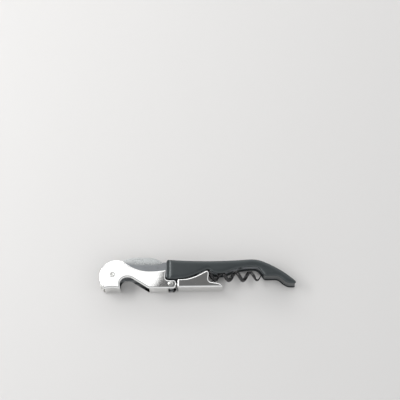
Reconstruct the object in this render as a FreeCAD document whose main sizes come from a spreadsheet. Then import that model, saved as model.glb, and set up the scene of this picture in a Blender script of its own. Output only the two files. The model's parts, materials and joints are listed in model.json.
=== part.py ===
"""Waiter's corkscrew, closed and lying on its side, as a parametric FreeCAD document in millimetres.

+X runs from the round head to the tail of the handle, +Y points at the back of the handle, where the
knife folds in, and +Z is up. Z = 0 is the surface that the handle's lower cover lies on.
Every piece is drawn about the middle plane of the handle and lifted to mid_height.
"""

import FreeCAD, Part
import math
import os
import Sketcher
from FreeCAD import Vector

# Driving dimensions. A level is a distance from the middle plane of the handle.
SIZES = {
    "mid_height": 6.3,
    # the drawing is moved by this much, so that the origin is under the middle of the whole
    "shift_x": 0.176,
    "shift_y": 0.079,
    # pivots, seen from above
    "pivot_x": -54.0,
    "pivot_y": -1.6,
    "hinge_x": -17.1,
    "hinge_y": -7.6,
    "worm_x": -11.5,
    "worm_y": 0.0,
    # levels and thicknesses of the stacked plates
    "core_half": 3.8,
    "liner_inner": 3.9,
    "liner_sheet": 0.9,
    "cheek_inner": 4.95,
    "cheek_sheet": 1.0,
    "ear_inner": 3.85,
    "cover_thick": 1.5,
    "shoulder_deep": 0.9,
    "bend_round": 0.95,
    "edge_round": 0.5,
    "joggle_step": 0.6,
    # pins, rivets and rings
    "pivot_pin": 1.5,
    "pivot_head": 1.75,
    "hinge_pin": 0.97,
    "hinge_head": 1.6,
    "worm_pin": 1.0,
    "frame_pin": 0.8,
    "running_gap": 0.05,
    "head_proud": 0.3,
    "pivot_head_proud": 0.2,
    "pivot_dish": 0.16,
    "ring_gap": 0.02,
    "knife_ring": 2.6,
    "lever_ring": 3.4,
    "hinge_bush": 1.7,
    "spacer_tube": 1.25,
    # knife
    "blade_thick": 1.4,
    "grind_start": -46.2,
    "grind_run": 28.0,
    "scallop": 0.8,
    "scallop_x": -43.0,
    "scallop_y": 2.85,
    "scallop_run": 15.0,
    "scallops": 11,
    "nick_depth": 0.3,
    # worm
    "worm_axis_y": -1.3,
    "worm_helix": 2.55,
    "worm_wire": 1.15,
    "worm_pitch": 9.0,
    "worm_start_x": -3.15,
    "worm_turns": 4.85,
    "worm_point": 0.25,
    "hub_round": 2.5,
    "hub_side_gap": 0.2,
}

doc = FreeCAD.newDocument("waiters_corkscrew")
sheet = doc.addObject("Spreadsheet::Sheet", "Dimensions")
for row, (alias, value) in enumerate(SIZES.items(), start=1):
    sheet.set(f"A{row}", alias)
    sheet.set(f"B{row}", str(value))
    sheet.setAlias(f"B{row}", alias)
doc.recompute()

NODES = []


def cell(alias):
    """The value of a driving dimension."""
    return float(sheet.get(alias))


def bind(thing, prop, formula):
    """Bind a property to a formula whose sheet cells are written as {alias}."""
    thing.setExpression(prop, formula.replace("{", "Dimensions.").replace("}", ""))


def place(piece, x="0", y="0"):
    """Give a piece its Placement and list it among the pieces to write."""
    bind(piece, "Placement.Base.x", f"{x} + {{shift_x}}")
    bind(piece, "Placement.Base.y", f"{y} + {{shift_y}}")
    bind(piece, "Placement.Base.z", "{mid_height}")
    NODES.append(piece)


def new_body(label, x="0", y="0"):
    """A body drawn about the middle plane, lifted to its height above the surface."""
    body = doc.addObject("PartDesign::Body", label)
    body.Label = label
    place(body, x, y)
    return body


def new_sketch(body, name, role="XY_Plane", level=None):
    """An empty sketch on one of the body's own planes, or at a level above it."""
    sketch = body.newObject("Sketcher::SketchObject", f"{body.Label}_{name}")
    origin_plane = next(f for f in body.Origin.OriginFeatures if f.Role == role)
    sketch.AttachmentSupport = [(origin_plane, "")]
    sketch.MapMode = "FlatFace"
    if level:
        bind(sketch, "AttachmentOffset.Base.z", level)
    return sketch


def draw(sketch, start, steps):
    """A closed outline. Two numbers are a straight run to a point, four are an arc through
    the first point to the second, and the last step closes on the start by itself."""
    here = Vector(*start, 0)
    for step in [*steps, start]:
        there = Vector(step[-2], step[-1], 0)
        if there.isEqual(here, 1e-6):
            continue
        if len(step) == 2:
            sketch.addGeometry(Part.LineSegment(here, there))
        else:
            sketch.addGeometry(Part.ArcOfCircle(here, Vector(step[0], step[1], 0), there))
        here = there


def draw_circle(sketch, radius, x="0", y="0"):
    """A circle whose radius and centre are bound to the sheet."""
    index = sketch.addGeometry(Part.Circle(Vector(0, 0, 0), Vector(0, 0, 1), 1))
    centre = 3
    for kind, args, formula in (
        ("Radius", (index,), radius),
        ("DistanceX", (-1, 1, index, centre), x),
        ("DistanceY", (-1, 1, index, centre), y),
    ):
        number = sketch.addConstraint(Sketcher.Constraint(kind, *args, 1.0))
        bind(sketch, f"Constraints[{number}]", formula)


def pad(body, name, sketch, length, side="One side", reverse=False):
    feature = body.newObject("PartDesign::Pad", f"{body.Label}_{name}")
    feature.Profile = sketch
    feature.SideType = side
    feature.Reversed = reverse
    bind(feature, "Length", length)
    doc.recompute()
    return feature


def pocket(body, name, sketch, length=None, reverse=False):
    """Cut a sketch both ways through everything, or to a depth one way, and check that it cut."""
    before = body.Shape.Volume
    feature = body.newObject("PartDesign::Pocket", f"{body.Label}_{name}")
    feature.Profile = sketch
    feature.Reversed = reverse
    if length:
        bind(feature, "Length", length)
    else:
        feature.SideType = "Symmetric"
        feature.Type = "ThroughAll"
    doc.recompute()
    if body.Shape.Volume > before - 1e-3:
        raise RuntimeError(f"{feature.Name} cut nothing")
    return feature


def plate_pair(stem, start, steps, level, sheet_thick, holes=()):
    """A front and a back plate of one outline, the same distance from the middle plane."""
    pair = []
    for side, sign, away in (("front", "", False), ("back", "-", True)):
        body = new_body(f"{stem}_{side}")
        sketch = new_sketch(body, "outline", level=f"{sign}{level}")
        draw(sketch, start, steps)
        pad(body, "plate", sketch, sheet_thick, reverse=away)
        if holes:
            cut = new_sketch(body, "holes")
            for x, y, radius in holes:
                draw_circle(cut, radius, x, y)
            pocket(body, "drilled", cut)
        pair.append(body)
    return pair


def round_edges(body, name, radius, wanted):
    """Fillet the edges of the body's last feature that the test picks."""
    base = body.Tip
    names = [f"Edge{i}" for i, edge in enumerate(base.Shape.Edges, start=1) if wanted(edge)]
    feature = body.newObject("PartDesign::Fillet", f"{body.Label}_{name}")
    feature.Base = (base, names)
    bind(feature, "Radius", radius)
    doc.recompute()
    return feature


def at_level(level):
    """A test for edges that lie flat at a level above or below the middle plane."""
    def test(edge):
        box = edge.BoundBox
        return abs(abs(box.ZMin) - level) < 1e-4 and abs(box.ZMax - box.ZMin) < 1e-4
    return test


# Liners: the two steel plates of the frame, with a round end at the pivot, a small horn at
# the cover's end, and a belly and a tail that stay inside the covers.
FRAME_PINS = [("6.5", "4.6"), ("27", "5.6"), ("46", "1.2"), ("51", "-0.45")]
LINER_START = (-59.9, -2.7)
LINER = [
    (-58.3, 2.6, -52.5, 4.2),
    (-49.4, 4.9),
    (-47.2, 7.0),
    (-42.0, 5.2, -36.5, 4.7),
    (-27.5, 4.7),
    (-24.2, 5.1, -22.0, 6.4),
    (-20.2, 6.5),
    (-18.5, 6.9),
    (5.0, 6.05, 33.0, 7.2),
    (37.8, 6.85, 42.4, 5.3),
    (51.3, 0.7, 59.0, -5.2),
    (58.4, -6.1),
    (56.0, -5.1, 54.1, -3.6),
    (51.9, -1.9, 48.8, -1.35),
    (44.2, -1.45),
    (40.7, 2.2),
    (38.6, 4.2, 35.0, 4.85),
    (27.6, 4.15, 19.6, 2.1),
    (13.0, 0.55, 8.9, 1.75),
    (6.3, 3.1, 3.6, 2.4),
    (-3.0, -0.75, -9.0, -2.7),
    (-14.0, -3.1),
    (-48.3, -3.1),
    (-53.2, -7.5),
]


def make_liners():
    holes = [("{pivot_x}", "{pivot_y}", "{pivot_pin}"), ("{worm_x}", "{worm_y}", "{worm_pin}")]
    holes.append((SPRING_PIN[0], SPRING_PIN[1], "{frame_pin}"))
    holes += [(x, y, "{frame_pin}") for x, y in FRAME_PINS]
    plate_pair("liner", LINER_START, LINER, "{liner_inner}", "{liner_sheet}", holes)


# Covers: moulded black scales on the outside of the liners, from a square left end over the
# pocket for the lever's peak and the arch above the worm to the thin curved tail.
COVER_START = (-19.5, -3.4)
COVER = [
    (-19.7, 6.8),
    (-19.3, 7.75, -18.4, 8.08),
    (5.0, 7.25, 33.0, 8.4),
    (38.2, 8.0, 43.0, 6.35),
    (52.1, 1.6, 61.75, -5.7),
    (62.0, -6.64, 61.2, -7.2),
    (58.2, -7.2),
    (55.2, -6.1, 53.2, -4.5),
    (51.3, -3.0, 48.6, -2.45),
    (43.6, -2.55),
    (42.2, -2.2, 41.4, -1.1),
    (39.8, 1.1),
    (38.0, 3.0, 35.0, 3.75),
    (28.1, 3.15, 20.3, 1.0),
    (13.0, -0.65, 8.4, 0.6),
    (6.3, 1.95, 4.3, 1.35),
    (-2.5, -1.85, -9.0, -3.9),
    (-11.5, -4.2),
    (-18.4, -4.5),
    (-19.2, -4.15, -19.5, -3.4),
]


# The low shoulder at the covers' square end, beside the end of the first lever.
SHOULDER_START = (-21.0, -6.0)
SHOULDER = [(-21.0, 10.0), (-18.4, 10.0), (-18.4, -6.0)]


def make_covers():
    level = "({liner_inner} + {liner_sheet})"
    pair = plate_pair("cover", COVER_START, COVER, level, "{cover_thick}")
    for body, sign, away in zip(pair, ("", "-"), (False, True)):
        step = new_sketch(body, "step", level=f"{sign}({level} + {{cover_thick}})")
        draw(step, SHOULDER_START, SHOULDER)
        pocket(body, "shoulder", step, "{shoulder_deep}", reverse=away)


# First lever: a channel of polished sheet, with a round head, a cap lifter's mouth behind the
# head's web, a neck, and the first lip step beside the hinge of the second lever.
FIRST_START = (-58.9, -10.95)
FIRST = [
    (-59.18, 4.88, -47.2, 7.27),
    (-39.4, 2.35, -30.0, 0.6),
    (-25.0, 0.85, -19.95, 1.6),
    (-20.5, -3.0),
    (-20.0, -4.5, -18.6, -5.1),
    (-14.51, -5.1),
    (-13.5, -7.6, -14.97, -10.5),
    (-31.0, -10.5),
    (-40.9, -4.4),
    (-42.4, -3.6, -44.2, -3.35),
    (-47.7, -4.5, -49.1, -7.0),
    (-48.75, -10.95),
    (-54.0, -10.1, -58.9, -10.95),
]
FIRST_CAVITY_START = (-64.0, -12.0)
FIRST_CAVITY = [
    (-64.0, 9.0),
    (-12.0, 9.0),
    (-12.0, -12.0),
    (-18.55, -12.0),
    (-18.55, -9.5),
    (-30.6, -9.5),
    (-30.6, -12.0),
    (-48.2, -12.0),
    (-48.2, -9.2),
    (-58.6, -9.2),
    (-58.6, -12.0),
]

# Second lever: the boot-shaped channel with the second lip step, carried by two ears that are
# set inward to lie between the cheeks of the first lever.
SECOND_START = (-12.9, -9.9)
SECOND = [
    (-12.9, -5.1),
    (-12.75, -4.6, -12.2, -4.45),
    (-7.9, -4.25),
    (-3.0, -2.95, 1.6, -0.85),
    (4.6, 0.75),
    (6.15, 1.0, 7.05, -0.2),
    (7.1, -1.0),
    (6.75, -4.3),
    (7.3, -5.65, 8.7, -6.2),
    (11.1, -6.6),
    (13.9, -7.3, 15.7, -8.7),
    (15.7, -9.5),
]
SECOND_CAVITY_START = (-14.0, -12.0)
SECOND_CAVITY = [
    (-12.5, -12.0),
    (-12.5, -8.9),
    (17.0, -8.5),
    (17.0, 3.0),
    (-14.0, 3.0),
]
EAR_START = (-17.1, -9.35)
EAR = [
    (-18.85, -7.6, -17.1, -5.85),
    (-14.0, -5.6),
    (-11.4, -5.2),
    (-11.4, -9.35),
]
JOGGLE_START = (-12.9, -9.3)
JOGGLE = [(-12.9, -5.1), (-11.4, -5.1), (-11.4, -9.3)]


def channel(body, start, steps, cavity_start, cavity):
    """A block of the lever's side outline, hollowed between its cheeks except under its webs."""
    outline = new_sketch(body, "outline")
    draw(outline, start, steps)
    pad(body, "blank", outline, "2 * ({cheek_inner} + {cheek_sheet})", side="Symmetric")
    hollow = new_sketch(body, "hollow", level="-{cheek_inner}")
    draw(hollow, cavity_start, cavity)
    pocket(body, "channel", hollow, "2 * {cheek_inner}", reverse=True)


def bend_edges(low):
    """A test for the outer corners of a channel, where sheet bends from cheek to web."""
    outer = cell("cheek_inner") + cell("cheek_sheet")

    def test(edge):
        box = edge.BoundBox
        return at_level(outer)(edge) and box.YMax < low and box.XLength > 8
    return test


def outer_edges(edge):
    """A test for the edges round the outer faces of the cheeks."""
    return at_level(cell("cheek_inner") + cell("cheek_sheet"))(edge)


def make_first_lever():
    body = new_body("first_lever")
    channel(body, FIRST_START, FIRST, FIRST_CAVITY_START, FIRST_CAVITY)
    round_edges(body, "bends", "{bend_round}", bend_edges(cell("hinge_y")))
    holes = new_sketch(body, "holes")
    draw_circle(holes, "{pivot_pin} + {running_gap}", "{pivot_x}", "{pivot_y}")
    draw_circle(holes, "{hinge_pin}", "{hinge_x}", "{hinge_y}")
    pocket(body, "holed", holes)


def make_second_lever():
    body = new_body("second_lever")
    channel(body, SECOND_START, SECOND, SECOND_CAVITY_START, SECOND_CAVITY)
    round_edges(body, "edges", "{edge_round}", outer_edges)
    for side, sign, away in (("front", "", False), ("back", "-", True)):
        ear = new_sketch(body, f"ear_{side}", level=f"{sign}{{ear_inner}}")
        draw(ear, EAR_START, EAR)
        pad(body, f"ear_{side}_plate", ear, "{cheek_sheet}", reverse=away)
        joggle = new_sketch(body, f"joggle_{side}", level=f"{sign}{{ear_inner}}")
        draw(joggle, JOGGLE_START, JOGGLE)
        pad(body, f"joggle_{side}_step", joggle, "{cheek_sheet} + {joggle_step}", reverse=away)
    holes = new_sketch(body, "holes")
    draw_circle(holes, "{hinge_pin} + {running_gap}", "{hinge_x}", "{hinge_y}")
    pocket(body, "holed", holes)


# Spring: the flat bar between the liners, riveted at its middle, that bears on the knife's
# tang at one end and on the worm's hub at the other.
SPRING_PIN = ("-30", "0")
SPRING_START = (-50.3, -2.5)
SPRING = [
    (-49.0, -0.75),
    (-48.6, -0.3),
    (-40.0, 0.7, -30.0, 1.8),
    (-22.0, 1.9, -14.4, 1.0),
    (-14.3, -0.9),
    (-22.0, -1.5, -30.0, -1.7),
    (-40.0, -2.3, -49.4, -2.7),
]


def make_spring():
    body = new_body("back_spring")
    outline = new_sketch(body, "outline")
    draw(outline, SPRING_START, SPRING)
    pad(body, "bar", outline, "2 * {core_half}", side="Symmetric")
    hole = new_sketch(body, "hole")
    draw_circle(hole, "{frame_pin}", *SPRING_PIN)
    pocket(body, "drilled", hole)


# Tail spacer: the solid moulded filling between the liners in the thin tail, almost flush with
# the covers' rims.
TAIL_START = (43.7, -2.2)
TAIL = [
    (42.5, -1.9, 41.8, -1.0),
    (42.2, 6.15),
    (43.0, 5.98),
    (51.95, 1.3, 61.3, -5.75),
    (61.5, -6.5, 61.0, -6.85),
    (58.3, -6.85),
    (55.5, -5.8, 53.5, -4.25),
    (51.4, -2.7, 48.6, -2.1),
]


def make_tail_spacer():
    body = new_body("tail_spacer")
    outline = new_sketch(body, "outline")
    draw(outline, TAIL_START, TAIL)
    pad(body, "filling", outline, "2 * {core_half}", side="Symmetric")
    holes = new_sketch(body, "holes")
    for x, y in FRAME_PINS[2:]:
        draw_circle(holes, "{frame_pin}", x, y)
    pocket(body, "drilled", holes)


def turned(label, x, y, start, steps):
    """A body turned about an upright axis at x, y: the outline is radius against level."""
    body = new_body(label, x, y)
    outline = new_sketch(body, "profile", role="XZ_Plane")
    draw(outline, start, steps)
    turn = body.newObject("PartDesign::Revolution", f"{label}_turned")
    turn.Profile = outline
    turn.ReferenceAxis = (outline, ["V_Axis"])
    turn.Angle = 360
    doc.recompute()
    return body


def make_pivot_rivet():
    """The head's rivet: a pin through cheeks and liners, with low heads dished like an eye."""
    pin, head = cell("pivot_pin"), cell("pivot_head")
    face = cell("cheek_inner") + cell("cheek_sheet") + cell("ring_gap")
    top = face + cell("pivot_head_proud")
    dish = top - cell("pivot_dish")
    turned("pivot_rivet", "{pivot_x}", "{pivot_y}", (0, -dish), [
        (0.5, -dish),
        (0.85, -dish - 0.04, 1.0, -top),
        (1.55, -top, head, -face),
        (pin, -face),
        (pin, face),
        (head, face),
        (1.55, top, 1.0, top),
        (0.85, dish + 0.04, 0.5, dish),
        (0, dish),
    ])


def make_hinge_rivet():
    """The rivet that joins the two levers, with heads that are caps of a ball."""
    pin, head, rise = cell("hinge_pin"), cell("hinge_head"), cell("head_proud")
    face = cell("cheek_inner") + cell("cheek_sheet")
    ball = (head ** 2 + rise ** 2) / (2 * rise)
    half_way = math.asin(head / ball) / 2
    mid_r = ball * math.sin(half_way)
    mid_z = face + rise - ball * (1 - math.cos(half_way))
    turned("hinge_rivet", "{hinge_x}", "{hinge_y}", (0, -face - rise), [
        (mid_r, -mid_z, head, -face),
        (pin, -face),
        (pin, face),
        (head, face),
        (mid_r, mid_z, 0, face + rise),
    ])


def make_ring(label, x, y, inner, outer, low, high):
    """A flat ring or a tube between two levels, round an upright axis at x, y."""
    body = new_body(label, x, y)
    outline = new_sketch(body, "ring", level=low)
    draw_circle(outline, outer)
    draw_circle(outline, inner)
    pad(body, "ring_plate", outline, f"{high} - {low}")
    return body


def make_rings():
    pivot = ("{pivot_x}", "{pivot_y}")
    worm = ("{worm_x}", "{worm_y}")
    knife_low = "({blade_thick} / 2 + {ring_gap})"
    knife_high = "({liner_inner} - {ring_gap})"
    lever_low = "({liner_inner} + {liner_sheet} + {ring_gap})"
    lever_high = "({cheek_inner} - {ring_gap})"
    worm_low = "({core_half} - {hub_side_gap} + {ring_gap})"
    worm_high = "({liner_inner} - {ring_gap})"
    for side, flip in (("front", False), ("back", True)):
        for stem, spot, bore, outer, low, high in (
            ("knife_washer", pivot, "{pivot_pin}", "{knife_ring}", knife_low, knife_high),
            ("lever_washer", pivot, "{pivot_pin}", "{lever_ring}", lever_low, lever_high),
            ("worm_washer", worm, "{worm_pin}", "{hub_round}", worm_low, worm_high),
        ):
            if flip:
                low, high = f"-{high}", f"-{low}"
            make_ring(f"{stem}_{side}", *spot, bore, outer, low, high)
    make_ring("hinge_bush", "{hinge_x}", "{hinge_y}", "{hinge_pin}", "{hinge_bush}",
              "-({ear_inner} - {ring_gap})", "({ear_inner} - {ring_gap})")


def make_pins(label, spots, radius, half):
    """Plain riveted pins of one size, flush with the outside of the liners."""
    body = new_body(label)
    circles = new_sketch(body, "pins")
    for x, y in spots:
        draw_circle(circles, radius, x, y)
    pad(body, "pin_set", circles, f"2 * {half}", side="Symmetric")
    return body


# Knife: a short foil cutter that turns on the pivot rivet. Its curved spine stands above the
# liners and its serrated edge is folded down between them.
KNIFE_START = (-51.0, 0.0)
KNIFE = [
    (-49.0, 4.6),
    (-48.8, 8.1),
    (-43.0, 10.25, -36.0, 10.7),
    (-33.0, 10.65),
    (-26.3, 9.7, -22.0, 7.2),
    (-20.6, 4.6),
    (-21.6, 3.2),
    (-46.5, 3.2),
    (-47.2, 1.2, -48.6, 0.2),
    (-50.9, -2.9),
    (-52.3, -4.55, -54.0, -5.0),
    (-57.4, -1.6, -54.0, 1.8),
]
# The bevel seen from the blade's end: y against level, from the edge up to the full thickness.
GRIND_EDGE = (2.76, 0.1)
GRIND_FADE = (7.0, 0.8)
NICK_START = (-42.6, 8.3)
NICK = [(-38.3, 9.7, -34.0, 8.6), (-38.3, 8.9, -42.6, 8.3)]


def make_knife():
    body = new_body("knife_blade")
    outline = new_sketch(body, "outline")
    draw(outline, KNIFE_START, KNIFE)
    pad(body, "blank", outline, "{blade_thick}", side="Symmetric")
    grind = new_sketch(body, "grind", role="YZ_Plane", level="{grind_start}")
    for side in (1, -1):
        (edge_y, edge_level), (fade_y, fade_level) = GRIND_EDGE, GRIND_FADE
        draw(grind, (edge_y, side * edge_level),
             [(fade_y, side * fade_level), (edge_y, side * fade_level)])
    pocket(body, "bevel", grind, "{grind_run}", reverse=True)
    scallop = new_sketch(body, "scallop")
    draw_circle(scallop, "{scallop}", "{scallop_x}", "{scallop_y}")
    first = pocket(body, "scallop_cut", scallop)
    row_of_cuts = body.newObject("PartDesign::LinearPattern", "knife_blade_serration")
    row_of_cuts.Originals = [first]
    row_of_cuts.Direction = (scallop, ["H_Axis"])
    bind(row_of_cuts, "Length", "{scallop_run}")
    bind(row_of_cuts, "Occurrences", "{scallops}")
    body.Tip = row_of_cuts
    doc.recompute()
    nick = new_sketch(body, "nail_nick", level="{blade_thick} / 2")
    draw(nick, NICK_START, NICK)
    pocket(body, "nick_cut", nick, "{nick_depth}")
    hole = new_sketch(body, "hole")
    draw_circle(hole, "{pivot_pin} + {running_gap}", "{pivot_x}", "{pivot_y}")
    pocket(body, "holed", hole)


def make_worm_hub():
    """The barrel that the worm turns on, between the liners."""
    body = new_body("worm_hub", "{worm_x}", "{worm_y}")
    outline = new_sketch(body, "barrel")
    draw_circle(outline, "{hub_round}")
    draw_circle(outline, "{worm_pin} + {running_gap}")
    pad(body, "barrel_pad", outline, "2 * ({core_half} - {hub_side_gap})", side="Symmetric")


def worm_line():
    """The points that the wire's centre line follows: the shank in the hub, then the helix."""
    axis_y, helix = cell("worm_axis_y"), cell("worm_helix")
    start_x, pitch = cell("worm_start_x"), cell("worm_pitch")
    points = [
        Vector(cell("worm_x") + 2.2, 0.35, 0),
        Vector(start_x - 4.0, 0.75, -0.12),
        Vector(start_x - 1.3, axis_y + helix - 0.05, -0.3),
    ]
    per_turn = 12
    for step in range(round(cell("worm_turns") * per_turn) + 1):
        turn = step / per_turn
        angle = 2 * math.pi * turn
        points.append(Vector(start_x + pitch * turn, axis_y + helix * math.cos(angle),
                             helix * math.sin(angle)))
    return points


def swept_wire(line, start, end, start_radius, end_radius):
    """Round wire along part of a curve, from one radius to another."""
    run = line.copy()
    run.segment(start, end)
    ends = []
    for place, radius in ((start, start_radius), (end, end_radius)):
        circle = Part.makeCircle(radius, line.value(place), line.tangent(place)[0])
        ends.append(Part.Wire(circle))
    return Part.Wire([run.toShape()]).makePipeShell(ends, True, False)


def make_worm_screw():
    """The worm itself: round wire wound right-handed, tapered to a point over its last turn."""
    points = worm_line()
    line = Part.BSplineCurve()
    line.interpolate(points)
    wire, point = cell("worm_wire"), cell("worm_point")
    taper_from = line.parameter(points[-12])
    coil = swept_wire(line, line.FirstParameter, taper_from, wire, wire)
    tip = swept_wire(line, taper_from, line.LastParameter, wire, point)
    piece = doc.addObject("Part::Feature", "worm_screw")
    piece.Label = "worm_screw"
    piece.Shape = coil.fuse(tip)
    place(piece)


def check_and_write():
    """Stop on any failed object, then write each piece to its own STEP file."""
    doc.recompute()
    for thing in doc.Objects:
        if "Invalid" in thing.State or "Error" in thing.State:
            raise RuntimeError(f"{thing.Name} failed: {thing.State}")
    os.makedirs("parts", exist_ok=True)
    for node in NODES:
        shape = node.Shape
        if shape.isNull() or not shape.isValid() or not shape.Solids:
            raise RuntimeError(f"{node.Label} has no valid solid")
        shape.exportStep(f"parts/{node.Label}.step")
        print(f"{node.Label}: {len(shape.Solids)} solid(s), {shape.Volume:.1f} mm3")


make_liners()
make_covers()
make_spring()
make_tail_spacer()
make_pins("spring_rivet", [SPRING_PIN], "{frame_pin}", "({liner_inner} + {liner_sheet})")
make_pins("frame_rivets", FRAME_PINS, "{frame_pin}", "({liner_inner} + {liner_sheet})")
make_pins("worm_rivet", [("{worm_x}", "{worm_y}")], "{worm_pin}", "({liner_inner} + {liner_sheet})")
make_rings()
for number, (x, y) in enumerate(FRAME_PINS[:2], start=1):
    make_ring(f"frame_spacer_{number}", x, y, "{frame_pin}", "{spacer_tube}",
              "-{core_half}", "{core_half}")
make_pivot_rivet()
make_first_lever()
make_hinge_rivet()
make_second_lever()
make_knife()
make_worm_hub()
make_worm_screw()
check_and_write()
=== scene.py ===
# %% [markdown]
# # A waiter's corkscrew, dressed in Blender
#
# The corkscrew lies closed on its side. Its plates, pins, levers and knife come from a packed
# engineering model, already in the right place and in metres. This lesson keeps most of those
# pieces and gives them their finish. Five pieces need softer forms than a drawing has, so it makes
# them by hand: the two moulded covers, the two polished levers and the worm.
#
# We start by loading that model. Nothing here changes its shapes or its sizes, so we keep its
# outer box now, and later steps measure the middle level and the camera's height from it.

# %% Load the imported model
import json
import math
import bmesh
import bpy
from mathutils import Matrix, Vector
from mathutils.geometry import delaunay_2d_cdt
from mathutils.kdtree import KDTree


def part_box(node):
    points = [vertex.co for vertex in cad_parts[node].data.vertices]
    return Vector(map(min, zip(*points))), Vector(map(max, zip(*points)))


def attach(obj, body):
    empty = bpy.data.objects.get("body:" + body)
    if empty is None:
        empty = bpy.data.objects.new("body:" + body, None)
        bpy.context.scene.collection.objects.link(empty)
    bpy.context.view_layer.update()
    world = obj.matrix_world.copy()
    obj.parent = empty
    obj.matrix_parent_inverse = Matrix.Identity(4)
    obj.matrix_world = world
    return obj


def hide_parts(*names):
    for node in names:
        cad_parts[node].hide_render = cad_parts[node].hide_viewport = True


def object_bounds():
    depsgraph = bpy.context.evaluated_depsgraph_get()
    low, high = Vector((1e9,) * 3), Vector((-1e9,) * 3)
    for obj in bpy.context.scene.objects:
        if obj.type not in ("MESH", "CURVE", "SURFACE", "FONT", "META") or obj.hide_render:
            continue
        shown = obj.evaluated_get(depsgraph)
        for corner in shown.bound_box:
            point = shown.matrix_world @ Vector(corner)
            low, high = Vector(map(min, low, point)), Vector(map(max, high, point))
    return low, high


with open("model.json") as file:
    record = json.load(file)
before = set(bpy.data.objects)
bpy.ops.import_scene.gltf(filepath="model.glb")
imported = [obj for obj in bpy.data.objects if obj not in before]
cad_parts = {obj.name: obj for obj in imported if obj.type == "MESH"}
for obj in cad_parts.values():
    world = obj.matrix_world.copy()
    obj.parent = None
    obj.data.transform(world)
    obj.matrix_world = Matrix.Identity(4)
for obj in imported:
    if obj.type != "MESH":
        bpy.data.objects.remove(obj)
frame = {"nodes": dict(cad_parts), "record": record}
node = frame["nodes"]
cad_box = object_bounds()
MM = 0.001
low, high = cad_box
print("pieces in the model:", len(node))
print("size in mm:", [round((b - a) / MM, 1) for a, b in zip(low, high)])

# %% [markdown]
# ## Small tools for materials
#
# Every finish below is a Principled shader whose roughness, colour or bump is varied by noise. The
# noise is placed with the piece's own coordinates, in metres, so that it stays on the piece when
# the piece swings. A polished plate has marks drawn out in the direction it was polished in, so the
# helper that makes noise can stretch it: a large number along an axis means fine marks across it.

# %% Start a finish, and make noise for it
def new_finish(name, colour, metallic, roughness):
    """A material with a Principled shader, and its node tree."""
    finish = bpy.data.materials.new(name)
    finish.use_nodes = True
    shader = finish.node_tree.nodes["Principled BSDF"]
    shader.inputs["Base Color"].default_value = (*colour, 1)
    shader.inputs["Metallic"].default_value = metallic
    shader.inputs["Roughness"].default_value = roughness
    return finish, finish.node_tree, shader


def noise(tree, marks, detail):
    """Noise in the piece's own coordinates, with so many marks to the metre along x, y and z."""
    place = tree.nodes.new("ShaderNodeTexCoord")
    mapping = tree.nodes.new("ShaderNodeMapping")
    mapping.inputs["Scale"].default_value = marks
    grain = tree.nodes.new("ShaderNodeTexNoise")
    grain.inputs["Scale"].default_value = 1.0
    grain.inputs["Detail"].default_value = detail
    tree.links.new(place.outputs["Object"], mapping.inputs["Vector"])
    tree.links.new(mapping.outputs["Vector"], grain.inputs["Vector"])
    return grain.outputs["Fac"]


# %% Turn noise into roughness, colour and relief
def spread(tree, value, over, to):
    """Map one range of a value to a range of another quantity."""
    ramp = tree.nodes.new("ShaderNodeMapRange")
    sockets = ("From Min", "From Max", "To Min", "To Max")
    for socket, number in zip(sockets, (*over, *to)):
        ramp.inputs[socket].default_value = number
    tree.links.new(value, ramp.inputs["Value"])
    return ramp.outputs["Result"]


def roughen(tree, shader, *amounts):
    """Let the sum of one or two values be the shader's roughness."""
    total = amounts[0]
    for amount in amounts[1:]:
        joint = tree.nodes.new("ShaderNodeMath")
        tree.links.new(total, joint.inputs[0])
        tree.links.new(amount, joint.inputs[1])
        total = joint.outputs["Value"]
    tree.links.new(total, shader.inputs["Roughness"])


def tint(tree, shader, value, dark, light):
    """Vary the base colour between two tones."""
    mix = tree.nodes.new("ShaderNodeMix")
    mix.data_type = "RGBA"
    mix.inputs[6].default_value = (*dark, 1)
    mix.inputs[7].default_value = (*light, 1)
    tree.links.new(value, mix.inputs[0])
    tree.links.new(mix.outputs[2], shader.inputs["Base Color"])


def relief(tree, shader, height, strength, depth, under=None):
    """Bump a surface by a height, on top of another bump if one is given."""
    bump = tree.nodes.new("ShaderNodeBump")
    bump.inputs["Strength"].default_value = strength
    bump.inputs["Distance"].default_value = depth
    tree.links.new(height, bump.inputs["Height"])
    if under:
        tree.links.new(under, bump.inputs["Normal"])
    tree.links.new(bump.outputs["Normal"], shader.inputs["Normal"])
    return bump.outputs["Normal"]


# %% [markdown]
# ## Polished lever steel
#
# The levers are stainless sheet, stamped, bent and then polished almost to a mirror. Three things
# keep such steel from looking like computer chrome: the sheet is never quite flat, so reflections
# bend a little; the buffing wheel leaves hair-fine lines along the lever; and handling leaves soft
# patches of haze. Each is one noise, from the widest to the finest.

# %% Mirror-polished steel
SHEET_WAVES = (55, 70, 55)
HANDLING_HAZE = (160, 220, 160)
BUFFING_LINES = (420, 9000, 9000)


def make_lever_steel():
    """Polished sheet with a slight wave, fine buffing lines and soft haze."""
    finish, tree, shader = new_finish("lever polished steel", (0.80, 0.80, 0.79), 1.0, 0.07)
    haze = noise(tree, HANDLING_HAZE, detail=4)
    lines = noise(tree, BUFFING_LINES, detail=2)
    roughen(tree, shader,
            spread(tree, haze, over=(0.35, 0.75), to=(0.03, 0.06)),
            spread(tree, lines, over=(0.62, 0.8), to=(0.0, 0.07)))
    tint(tree, shader, haze, dark=(0.74, 0.74, 0.73), light=(0.84, 0.84, 0.83))
    waves = noise(tree, SHEET_WAVES, detail=1)
    wavy = relief(tree, shader, waves, strength=0.10, depth=0.12 * MM)
    relief(tree, shader, lines, strength=0.04, depth=0.02 * MM, under=wavy)
    return finish


lever_steel = make_lever_steel()
print("finish made:", lever_steel.name)

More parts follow.
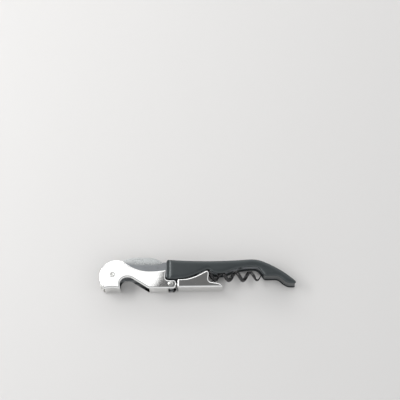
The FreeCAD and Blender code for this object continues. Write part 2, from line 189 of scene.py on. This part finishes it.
# %% [markdown]
# ## Satin frame steel, knife steel and rivet steel
#
# The liners are cut from the same kind of sheet but only brushed, so they stay grey where the
# levers go white. The knife is ground: its grinding lines run across the blade, from spine to edge.
# The rivets are small turned or swaged pieces, with fine marks from the setting tool. One function
# makes all three, and the direction of the lines is what sets them apart.

# %% Brushed, ground and swaged steel
WORN_PATCHES = (130, 130, 130)
ALONG_THE_LINER = (260, 9000, 9000)
ACROSS_THE_BLADE = (9000, 500, 9000)
DOWN_THE_RIVET = (3000, 3000, 300)


def make_brushed_steel(name, colour, rough, marks, line_depth):
    """Steel with lines drawn out along the axis that has the fewest marks."""
    finish, tree, shader = new_finish(name, colour, 1.0, rough)
    lines = noise(tree, marks, detail=3)
    patches = noise(tree, WORN_PATCHES, detail=3)
    roughen(tree, shader,
            spread(tree, lines, over=(0.3, 0.7), to=(rough - 0.07, rough + 0.09)),
            spread(tree, patches, over=(0.3, 0.7), to=(-0.03, 0.03)))
    darker = tuple(c * 0.86 for c in colour)
    tint(tree, shader, patches, darker, colour)
    relief(tree, shader, lines, strength=0.2, depth=line_depth)
    return finish


frame_steel = make_brushed_steel(
    "brushed liner steel", (0.305, 0.318, 0.332), 0.34, ALONG_THE_LINER, 0.02 * MM)
blade_steel = make_brushed_steel(
    "ground blade steel", (0.64, 0.66, 0.66), 0.22, ACROSS_THE_BLADE, 0.01 * MM)
rivet_steel = make_brushed_steel(
    "swaged rivet steel", (0.64, 0.64, 0.62), 0.12, DOWN_THE_RIVET, 0.01 * MM)
print("finishes made:", frame_steel.name, blade_steel.name, rivet_steel.name)

# %% [markdown]
# ## Black plastic and the black coating of the worm
#
# The covers are moulded in a tool with a fine satin texture. Under soft light that texture makes
# black plastic read as slate grey, because each grain mirrors a little of the light. So the base
# colour stays nearly black, and the greyness is left to roughness and a grain of about a fifth of a
# millimetre. The worm's slippery coating is smoother, with slight orange peel.

# %% Moulded cover black and worm coating
SATIN_GRAIN = (4200, 4200, 4200)
MOULD_FLOW = (70, 150, 150)
ORANGE_PEEL = (1500, 1500, 1500)
RUBBED_PATCHES = (180, 400, 400)


def make_cover_black():
    """Black plastic with the satin grain of its mould."""
    finish, tree, shader = new_finish("moulded black plastic", (0.016, 0.022, 0.024), 0.0, 0.36)
    shader.inputs["Specular IOR Level"].default_value = 0.8
    shader.inputs["Specular Tint"].default_value = (0.93, 1.0, 1.0, 1)
    grain = noise(tree, SATIN_GRAIN, detail=2)
    flow = noise(tree, MOULD_FLOW, detail=4)
    roughen(tree, shader,
            spread(tree, grain, over=(0.3, 0.7), to=(0.31, 0.39)),
            spread(tree, flow, over=(0.3, 0.7), to=(-0.02, 0.03)))
    tint(tree, shader, flow, dark=(0.012, 0.015, 0.017), light=(0.018, 0.022, 0.024))
    relief(tree, shader, grain, strength=0.30, depth=0.04 * MM)
    return finish


def make_worm_coating():
    """A thin black coating, rubbed a little smoother in patches."""
    finish, tree, shader = new_finish("black worm coating", (0.014, 0.014, 0.015), 0.0, 0.24)
    peel = noise(tree, ORANGE_PEEL, detail=2)
    rubbed = noise(tree, RUBBED_PATCHES, detail=3)
    roughen(tree, shader, spread(tree, rubbed, over=(0.3, 0.7), to=(0.18, 0.32)))
    relief(tree, shader, peel, strength=0.12, depth=0.04 * MM)
    return finish


cover_black = make_cover_black()
worm_coating = make_worm_coating()
print("finishes made:", cover_black.name, worm_coating.name)

# %% [markdown]
# ## Dress the pieces that keep their drawn shape
#
# The model's record says which kind of material each piece is made of. We look that up and put the
# finish in the piece's own material slot, so no piece can be forgotten.

# %% Give each drawn piece its finish
FINISH_OF = {
    "frame_steel": frame_steel,
    "blade_steel": blade_steel,
    "rivet_steel": rivet_steel,
    "lever_steel": lever_steel,
    "cover_black": cover_black,
    "worm_black": worm_coating,
}
for part in frame["record"]["subparts"]:
    piece = node[part["node"]]
    for material_slot in piece.material_slots:
        material_slot.material = FINISH_OF[part["material_slot"]]

# %% [markdown]
# ## Soften their edges
#
# A stamped steel part never has a razor edge: tumbling and polishing round it by a tenth of a
# millimetre or two, and that tiny round catches the light as a bright line. The drawn pieces have
# sharp edges, so a Bevel modifier rounds them and a Weighted Normal modifier keeps the big faces
# flat. Modifiers leave the drawn mesh itself alone. A Weld goes first, because the model arrives
# with its faces cut apart along every edge. Then a planar Decimate joins the triangles of each flat
# face into one, so that no sliver bends the shading beside the new edge.

# %% Round what is drawn sharp
SEAM = 1e-6
FLAT_WITHIN = math.radians(0.5)
SHARP_FROM = math.radians(28)
ROUND_STEPS = 3
SOFT_EDGES = {
    "liner_front": 0.10 * MM,
    "liner_back": 0.10 * MM,
    "back_spring": 0.15 * MM,
    "knife_blade": 0.07 * MM,
    "tail_spacer": 0.30 * MM,
    "worm_hub": 0.20 * MM,
}


def soften(piece, width):
    """Round the sharp edges of a drawn piece with modifiers."""
    weld = piece.modifiers.new("close seams", "WELD")
    weld.merge_threshold = SEAM
    merge = piece.modifiers.new("join flat triangles", "DECIMATE")
    merge.decimate_type = "DISSOLVE"
    merge.angle_limit = FLAT_WITHIN
    bevel = piece.modifiers.new("soft edge", "BEVEL")
    bevel.width = width
    bevel.segments = ROUND_STEPS
    bevel.limit_method = "ANGLE"
    bevel.angle_limit = SHARP_FROM
    bevel.use_clamp_overlap = True
    flat = piece.modifiers.new("keep faces flat", "WEIGHTED_NORMAL")
    flat.keep_sharp = False


for name, width in SOFT_EDGES.items():
    soften(node[name], width)
print("edges softened:", len(SOFT_EDGES))

# %% [markdown]
# ## Outlines from the drawn pieces
#
# The covers and levers that we make by hand must have exactly the outlines of the drawn ones. A
# drawn outline could be typed in again, but then there would be two of them to keep alike. So we
# cut a copy of the drawn mesh with a level plane, throw away what lies above and below, and walk
# along the edges that are left until each outline closes.

# %% Read an outline from a drawn piece
def round_length(loop):
    """How long a closed outline is, all the way round."""
    return sum((b - a).length for a, b in zip(loop, loop[1:] + loop[:1]))


def section_loops(piece, level):
    """The closed outlines where a level plane cuts a drawn piece, the longest first."""
    mesh = bmesh.new()
    mesh.from_mesh(piece.data)
    bmesh.ops.remove_doubles(mesh, verts=mesh.verts, dist=SEAM)
    everything = mesh.verts[:] + mesh.edges[:] + mesh.faces[:]
    bmesh.ops.bisect_plane(mesh, geom=everything, plane_co=(0, 0, level), plane_no=(0, 0, 1),
                           clear_outer=True, clear_inner=True)
    bmesh.ops.remove_doubles(mesh, verts=mesh.verts, dist=SEAM)
    loops = []
    unused = set(mesh.verts)
    while unused:
        first = min(unused, key=lambda v: (v.co.x, v.co.y))
        loop = [first]
        before, here = None, first
        while True:
            unused.discard(here)
            beside = [edge.other_vert(here) for edge in here.link_edges]
            onward = [v for v in beside if v is not before]
            if not onward or onward[0] is first:
                break
            before, here = here, onward[0]
            loop.append(here)
        loops.append([v.co.xy.copy() for v in loop])
    mesh.free()
    return sorted(loops, key=round_length, reverse=True)


MIDDLE = (low[2] + high[2]) / 2
webs = section_loops(node["first_lever"], MIDDLE)
print("webs between the first lever's cheeks:", len(webs))
print("their lengths round in mm:", [round(round_length(web) / MM, 1) for web in webs])

# %% [markdown]
# ## Even and smooth an outline
#
# A cut has its points wherever the drawn triangles happen to end: crowded on arcs, far apart on
# straight lines. Points at even steps give a regular mesh. A few rounds of averaging each point
# with its two neighbours then smooth out the small kinks where two drawn arcs meet.

# %% Space the points evenly and relax them
NO_DISTANCE = 1e-12


def evened(points, step):
    """The same closed outline with points the same distance apart."""
    lengths = [(b - a).length for a, b in zip(points, points[1:] + points[:1])]
    count = round(sum(lengths) / step)
    spacing = sum(lengths) / count
    result = []
    travelled, wanted = 0.0, 0.0
    for index, length in enumerate(lengths):
        a, b = points[index], points[(index + 1) % len(points)]
        while wanted < travelled + length - NO_DISTANCE and len(result) < count:
            result.append(a.lerp(b, (wanted - travelled) / length))
            wanted += spacing
        travelled += length
    return result


def relaxed(points, rounds):
    """The outline with its small kinks smoothed out."""
    for _ in range(rounds):
        before = points[-1:] + points[:-1]
        after = points[1:] + points[:1]
        points = [p * 0.5 + (a + b) * 0.25 for a, p, b in zip(before, points, after)]
    return points


# %% [markdown]
# ## Which way is in, and how far
#
# A plate with a rounded rim needs two facts about its outline: the direction that leads inside at
# each point, and how far any point is from the rim. The first is the direction of the outline
# turned by a right angle. For the second, a search tree finds the nearest point of the outline, and
# the distance is then measured to the two edges that meet there.

# %% Directions and distances from an outline
def turned_inward(outline):
    """At each point, the direction square to the outline that leads inside it."""
    area = sum(a.cross(b) for a, b in zip(outline, outline[1:] + outline[:1]))
    side = 1 if area > 0 else -1
    result = []
    for before, after in zip(outline[-1:] + outline[:-1], outline[1:] + outline[:1]):
        along = (after - before).normalized()
        result.append(Vector((-along.y, along.x)) * side)
    return result


def rim_distance(outline):
    """A function that gives how far a point is from the outline."""
    nearest = KDTree(len(outline))
    for i, p in enumerate(outline):
        nearest.insert((p.x, p.y, 0), i)
    nearest.balance()

    def distance(point):
        index = nearest.find((point.x, point.y, 0))[1]
        here = outline[index]
        best = (point - here).length
        for other in (outline[index - 1], outline[(index + 1) % len(outline)]):
            along = other - here
            t = max(0.0, min(1.0, (point - here).dot(along) / along.length_squared))
            best = min(best, (point - here - along * t).length)
        return best
    return distance


# %% [markdown]
# ## Crowned plates and plain prisms
#
# A cover's outer side falls away in a wide soft round, and a polished cheek's in a narrow one. A
# Bevel modifier makes a round of one width, which cannot fit where a plate gets thin. So we give
# every point of the outer side a height that depends only on how far it is from the rim: the round
# then narrows by itself wherever the plate does. Rings of points inside the outline, closer
# together where the round is steep, are joined into triangles that keep to the outline. A prism is
# the simple case: one outline at two levels, with walls between them.

# %% Build a crowned plate
RING_AT = [0.02, 0.06, 0.12, 0.20, 0.31, 0.45, 0.62, 0.80, 1.0, 1.12]
RING_CLEAR = 0.97
INSIDE_ONLY = 1
SAME_SPOT = 1e-8


def crowned_plate(mesh, outline, inner, outer, width, drop):
    """Add a plate whose outer side falls away in a round of some width and drop at its rim."""
    outward = 1 if outer > inner else -1
    inward = turned_inward(outline)
    distance = rim_distance(outline)
    flat_points = list(outline)
    for share in RING_AT:
        gap = share * width
        ring = [p + n * gap for p, n in zip(outline, inward)]
        flat_points += [p for p in ring if distance(p) > gap * RING_CLEAR]
    count = len(outline)
    rim = [(i, (i + 1) % count) for i in range(count)]
    spots, _, triangles, *_ = delaunay_2d_cdt(flat_points, rim, [], INSIDE_ONLY, SAME_SPOT)
    crown = []
    for spot in spots:
        share = min(1.0, distance(spot) / width)
        fall = 1.0 - math.sqrt(max(0.0, 1.0 - (1.0 - share) ** 2))
        crown.append(mesh.verts.new((spot.x, spot.y, outer - outward * drop * fall)))
    for triangle in triangles:
        mesh.faces.new([crown[i] for i in triangle])
    foot = [mesh.verts.new((p.x, p.y, inner)) for p in spots[:count]]
    for i, j in rim:
        mesh.faces.new((crown[i], crown[j], foot[j], foot[i]))
    mesh.faces.new(foot)


# %% Build a prism, and turn a built mesh into a piece
CREASE = math.radians(35)


def prism(mesh, outline, bottom, top):
    """Add a plain plate of one outline between two levels."""
    rings = [[mesh.verts.new((p.x, p.y, z)) for p in outline] for z in (bottom, top)]
    count = len(outline)
    for i in range(count):
        j = (i + 1) % count
        mesh.faces.new((rings[0][i], rings[0][j], rings[1][j], rings[1][i]))
    for ring in rings:
        mesh.faces.new(ring)


def as_object(name, data, finish):
    """Put mesh data in the scene, with a finish."""
    data.materials.append(finish)
    thing = bpy.data.objects.new(name, data)
    bpy.context.collection.objects.link(thing)
    return thing


def finished_piece(name, mesh, finish):
    """Turn the built mesh into an object that shades smoothly except over sharp edges."""
    bmesh.ops.recalc_face_normals(mesh, faces=mesh.faces)
    for face in mesh.faces:
        face.smooth = True
    for edge in mesh.edges:
        edge.smooth = edge.calc_face_angle(0.0) < CREASE
    data = bpy.data.meshes.new(name)
    mesh.to_mesh(data)
    mesh.free()
    print(name, "made with", len(data.vertices), "points")
    return as_object(name, data, finish)


# %% [markdown]
# ## The moulded covers
#
# Each cover is one moulding, bonded to its liner. Its outer side is crowned, its inner edge is square
# where it meets the liner, and at its square end it drops to a low shoulder beside the end of the
# first lever. The outline of the raised part is read near the drawn cover's outer face, and the
# outline of the whole near its inner face. The first becomes a crowned plate. The square end of the
# second becomes a thin prism, which runs a little way under the plate.

# %% Mould a cover
COVER_STEP = 0.35 * MM
COVER_ROUND = 2.4 * MM
COVER_DROP = 1.1 * MM
CUT_IN = 0.3 * MM
SHOULDER_THICK = 0.6 * MM
SHOULDER_UNDER = 1.0 * MM


def make_cover(name, drawn):
    """A moulded cover: a crowned plate, with the low shoulder at its square end."""
    bottom, top = (corner.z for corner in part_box(drawn))
    outward = 1 if bottom > MIDDLE else -1
    outer, inner = (top, bottom) if outward > 0 else (bottom, top)
    raised = section_loops(node[drawn], outer - outward * CUT_IN)[0]
    raised = relaxed(evened(raised, COVER_STEP), 5)
    whole = section_loops(node[drawn], inner + outward * CUT_IN)[0]
    whole = relaxed(evened(whole, COVER_STEP), 3)
    limit = min(p.x for p in raised) + SHOULDER_UNDER
    leaves = [i for i, p in enumerate(whole) if p.x > limit >= whole[i - 1].x][0]
    shoulder = [p for p in whole[leaves:] + whole[:leaves] if p.x <= limit]
    mesh = bmesh.new()
    crowned_plate(mesh, raised, inner, outer, COVER_ROUND, COVER_DROP)
    prism(mesh, shoulder, inner, inner + outward * SHOULDER_THICK)
    piece = finished_piece(name, mesh, cover_black)
    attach(piece, "handle")
    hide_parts(drawn)


make_cover("moulded_cover_front", "cover_front")
make_cover("moulded_cover_back", "cover_back")

# %% [markdown]
# ## The levers
#
# Each lever is a channel of one-millimetre sheet: two cheeks joined by narrow webs. After stamping
# and bending, the outside is polished so long that the cheeks' rims end up fully round, and those
# rims draw the bright line that runs all the way round each lever. The drawn rims are square or
# only a little rounded, so the cheeks are made again with the crowned plate from above, narrow and
# steep this time. The webs are plain prisms between them. Cuts through the drawn lever give every
# outline: one just inside each cheek, and one through the middle for the webs.

# %% Bend the first lever
SHEET = 1.0 * MM
LEVER_STEP = 0.22 * MM
LEVER_ROUND = 1.0 * MM
LEVER_DROP = 0.92 * MM
INTO_CHEEK = 0.02 * MM


def bend_channel(drawn):
    """The mesh of a lever's cheeks and webs, and the levels of the cheeks' insides."""
    bottom, top = (corner.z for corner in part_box(drawn))
    mesh = bmesh.new()
    insides = []
    for outward, outer in ((1, top), (-1, bottom)):
        inner = outer - outward * SHEET
        insides.append(inner)
        loop = section_loops(node[drawn], inner + outward * INTO_CHEEK)[0]
        outline = relaxed(evened(loop, LEVER_STEP), 2)
        crowned_plate(mesh, outline, inner, outer, LEVER_ROUND, LEVER_DROP)
    for web in section_loops(node[drawn], MIDDLE):
        prism(mesh, relaxed(evened(web, LEVER_STEP), 1), insides[1], insides[0])
    return mesh, insides


def finish_lever(name, drawn, body, mesh):
    """Give a lever its finish, and put it in the place of the drawn one."""
    piece = finished_piece(name, mesh, lever_steel)
    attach(piece, body)
    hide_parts(drawn)


first_mesh, _ = bend_channel("first_lever")
finish_lever("polished_first_lever", "first_lever", "lever", first_mesh)

# %% [markdown]
# ## The second lever's ears
#
# The second lever is as wide as the first, yet its end has to go inside the first lever's cheeks at
# the hinge. On the real one the sheet is pressed inward there by a step, which leaves two ears that
# lie against the insides of those cheeks. A cut through an ear gives its outline, a cut between ear
# and cheek gives the step's, and both become prisms. The longest outline in each of these cuts is
# the web, which is there already, so it is left out. The step reaches into both the cheek and the
# ear, so that no gap opens between them.

# %% Add the ears and their steps
EAR_GAP = 0.10 * MM
EAR_THICK = 1.0 * MM
STEP_INTO_EAR = 0.8 * MM
STEP_INTO_CHEEK = 0.3 * MM
second_mesh, second_insides = bend_channel("second_lever")
for inside, outward in zip(second_insides, (1, -1)):
    ear_outer = inside - outward * EAR_GAP
    ear_inner = ear_outer - outward * EAR_THICK
    for ear in section_loops(node["second_lever"], (ear_outer + ear_inner) / 2)[1:]:
        prism(second_mesh, relaxed(evened(ear, LEVER_STEP), 1), ear_inner, ear_outer)
    step_inner = ear_outer - outward * STEP_INTO_EAR
    step_outer = inside + outward * STEP_INTO_CHEEK
    for step in section_loops(node["second_lever"], (inside + ear_outer) / 2)[1:]:
        prism(second_mesh, evened(step, LEVER_STEP), step_inner, step_outer)
finish_lever("polished_second_lever", "second_lever", "lever_tip", second_mesh)

# %% [markdown]
# ## The worm
#
# The worm is one length of round wire. It leaves the hub straight, bends into a right-handed screw
# and is ground to a point over its last turn. We work out its centre line turn by turn, carry a ring
# of points along it, and let the rings shrink towards the point. The drawn worm's box gives the axis
# and the size across, so the new one lies exactly where the drawn one does.

# %% The worm's sizes and place
PITCH = 9.0 * MM
WIRE_RADIUS = 1.15 * MM
POINT_RADIUS = 0.12 * MM
TURNS = 4.85
STEPS_PER_TURN = 36
worm_low, worm_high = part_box("worm_screw")
hub_low, hub_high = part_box("worm_hub")
AXIS_Z = (worm_low.z + worm_high.z) / 2
HELIX = (worm_high.z - worm_low.z) / 2 - WIRE_RADIUS
AXIS_Y = worm_low.y + HELIX + WIRE_RADIUS
SCREW_START = (hub_low.x + hub_high.x) / 2 + 8.35 * MM
print("the screw is", round(2 * (HELIX + WIRE_RADIUS) / MM, 1), "mm across")

# %% The straight shank and its bend into the screw
SHANK_Y = (hub_low.y + hub_high.y) / 2 + 0.35 * MM
SHANK_IN_HUB = 0.4 * MM
SHANK_PULL = Vector((1.6 * MM, 0.25 * MM, 0))
SCREW_PULL = 2.4 * MM
SHANK_STEPS = 16


def shank_line():
    """Points along the wire from the hub to the start of the screw, on one smooth curve."""
    lead = Vector((hub_high.x - SHANK_IN_HUB, SHANK_Y, AXIS_Z))
    lead_on = Vector((hub_high.x, SHANK_Y, AXIS_Z)) + SHANK_PULL
    begin = Vector((SCREW_START, AXIS_Y + HELIX, AXIS_Z))
    heading = Vector((PITCH, 0, 2 * math.pi * HELIX)).normalized()
    bend_in = begin - heading * SCREW_PULL
    points = []
    for i in range(SHANK_STEPS):
        t = i / SHANK_STEPS
        a = lead.lerp(lead_on, t).lerp(lead_on.lerp(bend_in, t), t)
        b = lead_on.lerp(bend_in, t).lerp(bend_in.lerp(begin, t), t)
        points.append(a.lerp(b, t))
    return points


# %% The whole centre line
GROUND_TURNS = 0.85
GRIND_CURVE = 0.8


def worm_line():
    """Points along the wire's centre, and its radius at each."""
    points = shank_line()
    radii = [WIRE_RADIUS] * len(points)
    count = round(TURNS * STEPS_PER_TURN)
    for i in range(count + 1):
        turn = i / STEPS_PER_TURN
        angle = 2 * math.pi * turn
        left = (count - i) / (GROUND_TURNS * STEPS_PER_TURN)
        points.append(Vector((SCREW_START + PITCH * turn, AXIS_Y + HELIX * math.cos(angle),
                              AXIS_Z + HELIX * math.sin(angle))))
        ground = min(1.0, left) ** GRIND_CURVE
        radii.append(POINT_RADIUS + (WIRE_RADIUS - POINT_RADIUS) * ground)
    return points, radii


line, line_radii = worm_line()
print("the centre line has", len(line), "points")

# %% [markdown]
# ## Carry a ring along the line
#
# Blender's curve objects can give a line a thickness, but a mesh of our own shows what happens. At
# each point of the line we need two directions square to it. The first is the one from the point
# before, leaned just enough to be square again, so the wire never twists. The second is square to
# both. Walls join each ring to the next, and two flat faces close the ends.

# %% Carry a ring of points along a line
WIRE_SIDES = 20


def swept_wire(points, radii):
    """The mesh of a closed wire of changing radius along a line of points."""
    mesh = bmesh.new()
    across = Vector((0, 1, 0))
    rings = []
    for i, (point, radius) in enumerate(zip(points, radii)):
        ahead = points[min(i + 1, len(points) - 1)] - points[max(i - 1, 0)]
        ahead.normalize()
        across = (across - ahead * across.dot(ahead)).normalized()
        up = ahead.cross(across)
        ring = []
        for k in range(WIRE_SIDES):
            turn = 2 * math.pi * k / WIRE_SIDES
            offset = across * math.cos(turn) + up * math.sin(turn)
            ring.append(mesh.verts.new(point + offset * radius))
        rings.append(ring)
    for one, two in zip(rings, rings[1:]):
        for k in range(WIRE_SIDES):
            m = (k + 1) % WIRE_SIDES
            mesh.faces.new((one[k], one[m], two[m], two[k]))
    mesh.faces.new(rings[0])
    mesh.faces.new(rings[-1])
    return mesh


worm = finished_piece("coated_worm", swept_wire(line, line_radii), worm_coating)
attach(worm, "worm")
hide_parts("worm_screw")

# %% [markdown]
# ## Studio
#
# The floor is plain and pale, large enough to fill the view from every side.

# %% Floor
FLOOR_HALF = 1.6


def make_floor():
    """A level square of pale, dull material under the corkscrew."""
    data = bpy.data.meshes.new("floor")
    far, near = FLOOR_HALF, -FLOOR_HALF
    corners = [(near, near, 0), (far, near, 0), (far, far, 0), (near, far, 0)]
    data.from_pydata(corners, [], [(0, 1, 2, 3)])
    finish, _, _ = new_finish("pale floor", (0.62, 0.61, 0.60), 0.0, 0.7)
    floor = as_object("floor", data, finish)


make_floor()
print("floor laid,", 2 * FLOOR_HALF, "m to a side")

# %% [markdown]
# ## Cards of light
#
# Polished steel shows what is around it and nothing else, so the light is mostly a matter of what
# the flat cheeks can see: a white card above and behind the head, which turns the left part of the
# first lever white, and a dim grey card beside it, which the rest of the steel mirrors. Two
# strips, at the left and at the back, draw a light line along the covers' rims. Lamps would do the
# lighting too, but a card has an edge, and that edge is what the eye reads in polished metal.

# %% Hang the cards
CORNER_STEPS = 8


def glow(name, strength):
    """A material that only gives off light."""
    finish = bpy.data.materials.new(name)
    finish.use_nodes = True
    tree = finish.node_tree
    tree.nodes.clear()
    lamp = tree.nodes.new("ShaderNodeEmission")
    lamp.inputs["Strength"].default_value = strength
    out = tree.nodes.new("ShaderNodeOutputMaterial")
    tree.links.new(lamp.outputs["Emission"], out.inputs["Surface"])
    return finish


def make_card(name, centre, half_wide, half_deep, corner, strength, facing):
    """A glowing card with rounded corners, square to a direction."""
    turn_to = Vector(facing).to_track_quat("Z", "Y")
    outline = []
    for quarter, (sx, sy) in enumerate(((1, 1), (-1, 1), (-1, -1), (1, -1))):
        for i in range(CORNER_STEPS + 1):
            turn = math.pi / 2 * (quarter + i / CORNER_STEPS)
            across = sx * (half_wide - corner) + corner * math.cos(turn)
            along = sy * (half_deep - corner) + corner * math.sin(turn)
            outline.append(Vector(centre) + turn_to @ Vector((across, along, 0)))
    data = bpy.data.meshes.new(name)
    data.from_pydata(outline, [], [tuple(range(len(outline)))])
    card = as_object(name, data, glow(name, strength))
    print(name, "hung at", centre)


make_card("white_card", centre=(-0.357, 0.40, 0.79), half_wide=0.31, half_deep=0.22,
          corner=0.03, strength=1.5, facing=(0, 0, 1))
make_card("grey_card", centre=(0.035, 0.235, 0.80), half_wide=0.175, half_deep=0.085,
          corner=0.02, strength=0.185, facing=(0, 0, 1))
make_card("left_strip", centre=(-0.46, 0.12, 0.50), half_wide=0.22, half_deep=0.07,
          corner=0.03, strength=11.0, facing=(-0.46, 0.12, 0.50))
make_card("back_strip", centre=(-0.05, 0.62, 0.34), half_wide=0.40, half_deep=0.05,
          corner=0.03, strength=4.0, facing=(-0.05, 0.62, 0.34))

# %% [markdown]
# ## Sky
#
# Behind the cards is a plain sky. Low down it is bright all round, which lights the floor and is
# what the rounded rims mirror. Overhead it is less than half as bright, so that the brushed liners
# and the black covers, which look straight up, keep their grey.

# %% Sky
BRIGHT_BELOW = 0.78
DIM_ABOVE = 0.93


def make_sky(zenith, horizon):
    """A sky with one brightness low down and another overhead."""
    world = bpy.data.worlds.new("studio sky")
    world.use_nodes = True
    tree = world.node_tree
    background = tree.nodes["Background"]
    background.inputs["Color"].default_value = (0.98, 0.99, 1.0, 1)
    place = tree.nodes.new("ShaderNodeTexCoord")
    axis = tree.nodes.new("ShaderNodeSeparateXYZ")
    tree.links.new(place.outputs["Generated"], axis.inputs["Vector"])
    upward = axis.outputs["Z"]
    brightness = spread(tree, upward, over=(BRIGHT_BELOW, DIM_ABOVE), to=(horizon, zenith))
    tree.links.new(brightness, background.inputs["Strength"])
    bpy.context.scene.world = world


make_sky(zenith=0.45, horizon=1.0)
print("sky lit:", bpy.context.scene.world.name)

# %% [markdown]
# ## Camera
#
# The corkscrew is seen from high up, about fifteen degrees off straight down, with a long lens from
# some eighty centimetres. It sits below the middle of the picture, so the camera aims past it.

# %% Camera
DISTANCE = 0.80
SEEN_FROM = math.radians(75.0)
PAST = math.radians(3.25)
LENS = 114.0
SENSOR = 36.0
TO_THE_RIGHT = 1.6 * MM


def make_camera():
    """A camera above and in front of the corkscrew, aimed a little past it."""
    data = bpy.data.cameras.new("camera")
    data.lens = LENS
    data.sensor_width = SENSOR
    camera = bpy.data.objects.new("camera", data)
    bpy.context.collection.objects.link(camera)
    back = DISTANCE * math.cos(SEEN_FROM)
    height = high[2] + DISTANCE * math.sin(SEEN_FROM)
    camera.location = (TO_THE_RIGHT, -back, height)
    camera.rotation_euler = (math.pi / 2 - (SEEN_FROM - PAST), 0, 0)
    bpy.context.scene.camera = camera
    return camera


camera = make_camera()
bpy.context.scene.view_settings.view_transform = "Standard"
print("camera at", [round(c, 3) for c in camera.location])
